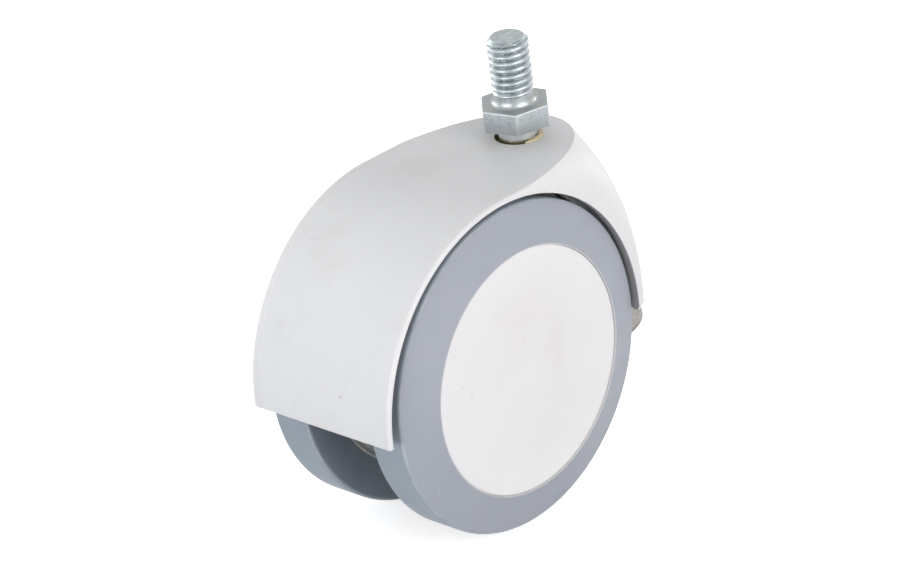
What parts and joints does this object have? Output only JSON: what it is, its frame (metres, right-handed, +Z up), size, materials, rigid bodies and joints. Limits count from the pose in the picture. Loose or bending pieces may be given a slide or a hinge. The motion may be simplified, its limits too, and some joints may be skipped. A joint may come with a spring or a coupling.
{
  "type": "swivel caster",
  "caption": "Hooded twin-wheel swivel caster: a threaded stem turns in a white moulded hood that carries two grey-tyred wheels and a foot brake.",
  "frame": {"origin": "on the swivel axis, in the plane of the hexagon's top face, which seats against what the caster is screwed to", "axes": "+Z up along the threaded stem; +X from the wheels' axle towards the stem; Y along the axle"},
  "size_m": [0.0962, 0.0456, 0.1008],
  "materials": {
    "zinc_plated_steel": "bright zinc plate, slightly blue",
    "spring_steel": "plain spring steel",
    "hood_plastic": "white moulded nylon, satin",
    "cover_plastic": "white moulded plastic, smooth satin",
    "core_plastic": "off-white moulded nylon",
    "bush_plastic": "natural acetal, greased",
    "natural_nylon": "milky unpigmented nylon",
    "tyre_rubber": "grey thermoplastic rubber, matt"
  },
  "bodies": {
    "stem": {"stem": "zinc_plated_steel", "snap_ring": "spring_steel"},
    "housing": {"hood": "hood_plastic", "upper_swivel_bush": "bush_plastic", "lower_swivel_bush": "bush_plastic", "thrust_disc": "spring_steel", "socket_plug": "hood_plastic", "axle": "zinc_plated_steel", "pedal_pin": "zinc_plated_steel", "pedal_leaf_spring": "spring_steel", "inner_washer_left": "zinc_plated_steel", "inner_washer_right": "zinc_plated_steel", "outer_washer_left": "zinc_plated_steel", "outer_washer_right": "zinc_plated_steel", "axle_clip_left": "spring_steel", "axle_clip_right": "spring_steel"},
    "wheel_left": {"wheel_bush_left": "bush_plastic", "wheel_core_left": "core_plastic", "tyre_left": "tyre_rubber", "wheel_cover_left": "cover_plastic"},
    "wheel_right": {"wheel_bush_right": "bush_plastic", "wheel_core_right": "core_plastic", "tyre_right": "tyre_rubber", "wheel_cover_right": "cover_plastic"},
    "pedal": {"brake_pedal": "natural_nylon"}
  },
  "joints": [
    {"name": "swivel", "type": "hinge", "parent": "stem", "child": "housing", "pos_m": [0, 0, -0.02], "axis": [0, 0, 1], "continuous": true},
    {"name": "wheel_left_spin", "type": "hinge", "parent": "housing", "child": "wheel_left", "pos_m": [-0.028, 0.0145, -0.0478], "axis": [0, 1, 0], "continuous": true},
    {"name": "wheel_right_spin", "type": "hinge", "parent": "housing", "child": "wheel_right", "pos_m": [-0.028, -0.0145, -0.0478], "axis": [0, 1, 0], "continuous": true},
    {"name": "brake", "type": "hinge", "parent": "housing", "child": "pedal", "pos_m": [0.005, 0, -0.0518], "axis": [0, 1, 0], "range_deg": [0, 14]}
  ]
}
